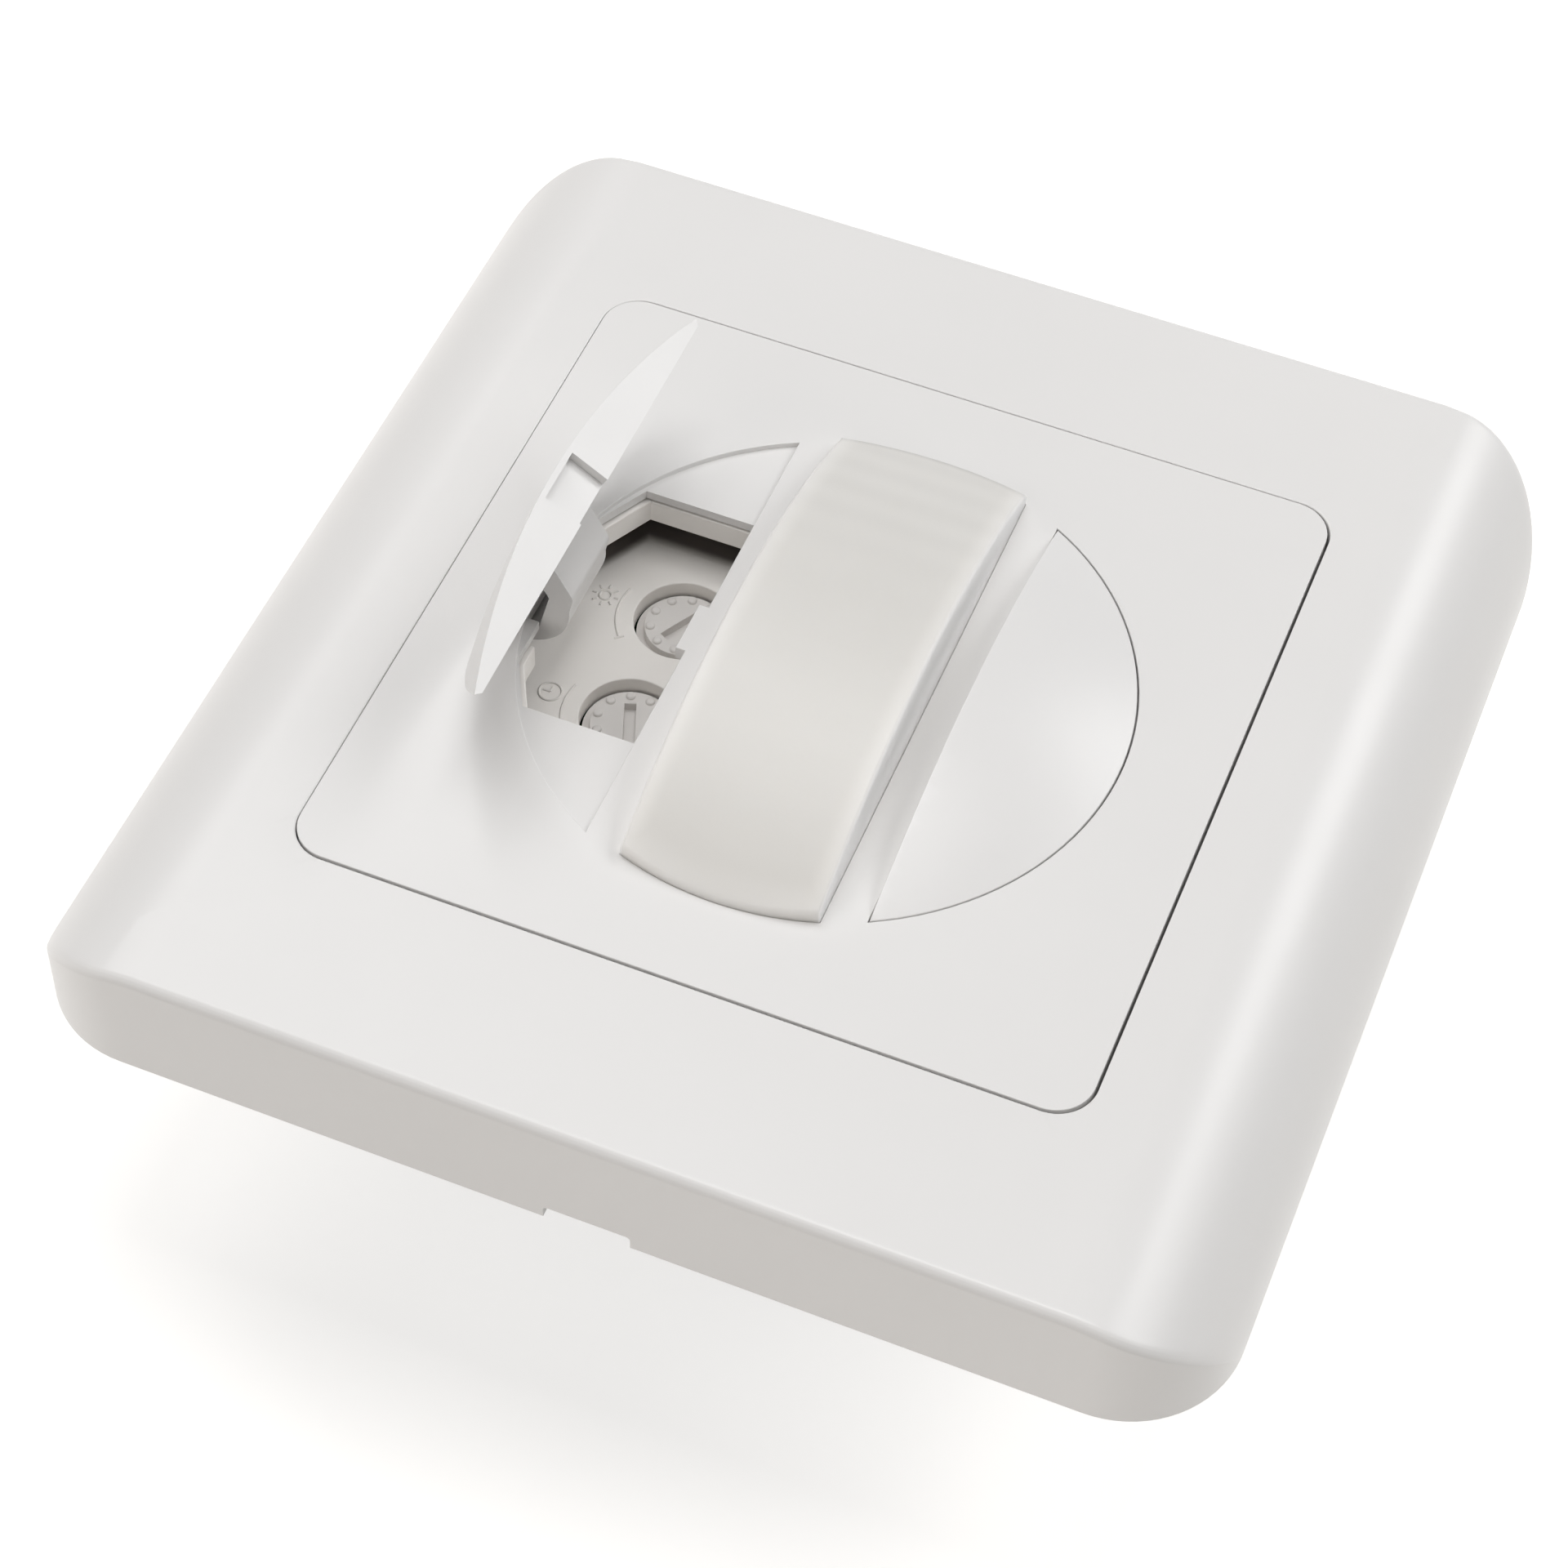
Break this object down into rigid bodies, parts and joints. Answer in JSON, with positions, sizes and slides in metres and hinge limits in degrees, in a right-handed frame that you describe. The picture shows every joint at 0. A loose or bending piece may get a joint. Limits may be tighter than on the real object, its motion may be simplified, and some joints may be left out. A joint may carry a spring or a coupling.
{
  "type": "motion sensor light switch",
  "caption": "Flush wall light switch with a passive infrared sensor: square cover frame, vaulted lens band, hinged flap over two setting dials, and a domed override button.",
  "frame": {"origin": "middle of the face on the wall plane, between the box screws", "axes": "+Z out of the wall, -X towards the flap, which is the top in use, +Y along the flap's hinge"},
  "size_m": [0.0824, 0.0826, 0.046],
  "materials": {
    "white_plastic": "satin moulded white",
    "milky_lens": "milky translucent polyethylene",
    "grey_plastic": "matt moulded pale grey",
    "dial_plastic": "matt moulded off white",
    "black_plastic": "matt black",
    "housing_plastic": "fine textured dark grey",
    "blue_plastic": "smooth blue",
    "yellow_plastic": "smooth yellow",
    "brown_plastic": "smooth brown",
    "capacitor_sleeve": "shrunk sleeve",
    "circuit_board": "green solder mask",
    "zinc_steel": "zinc plated",
    "nickel_can": "nickel plated",
    "brass": "plain brass",
    "infrared_filter": "polished dark filter",
    "clear_resin": "clear resin"
  },
  "bodies": {
    "switch_body": {"cover_frame": "white_plastic", "centre_plate": "white_plastic", "fresnel_lens": "milky_lens", "lens_holder": "black_plastic", "sensor_carrier": "grey_plastic", "lux_potentiometer": "blue_plastic", "time_potentiometer": "blue_plastic", "control_board": "circuit_board", "board_screws": "zinc_steel", "pir_sensor": "nickel_can", "pir_window": "infrared_filter", "light_sensor": "clear_resin", "tact_switch": "black_plastic", "control_chip": "black_plastic", "power_board": "circuit_board", "board_header": "black_plastic", "relay": "blue_plastic", "film_capacitor": "yellow_plastic", "reservoir_capacitor": "capacitor_sleeve", "fuse": "brown_plastic", "varistor": "blue_plastic", "terminal_block": "grey_plastic", "terminal_screws": "zinc_steel", "terminal_clamps": "brass", "mounting_yoke": "zinc_steel", "rear_housing": "housing_plastic", "housing_screws": "zinc_steel"},
    "flap": {"settings_flap": "white_plastic"},
    "lux_knob": {"lux_dial": "dial_plastic"},
    "time_knob": {"time_dial": "dial_plastic"},
    "button": {"override_button": "white_plastic"},
    "plunger": {"tact_plunger": "dial_plastic"}
  },
  "joints": [
    {"name": "flap_hinge", "type": "hinge", "parent": "switch_body", "child": "flap", "pos_m": [-0.0224, 0, 0.0077], "axis": [0, 1, 0], "range_deg": [0, 58.5]},
    {"name": "lux_turn", "type": "hinge", "parent": "switch_body", "child": "lux_knob", "pos_m": [-0.01275, 0.00478, 0.003], "axis": [0, 0, 1], "range_deg": [-135, 135]},
    {"name": "time_turn", "type": "hinge", "parent": "switch_body", "child": "time_knob", "pos_m": [-0.01275, -0.00478, 0.003], "axis": [0, 0, 1], "range_deg": [-135, 135]},
    {"name": "button_press", "type": "slide", "parent": "switch_body", "child": "button", "axis": [0, 0, -1], "range_m": [0, 0.0005], "stiffness_N_per_m": 1500},
    {"name": "plunger_press", "type": "slide", "parent": "switch_body", "child": "plunger", "axis": [0, 0, -1], "range_m": [0, 0.0005]}
  ],
  "couplings": [
    {"joint": "plunger_press", "follows": "button_press", "ratio": 1}
  ]
}
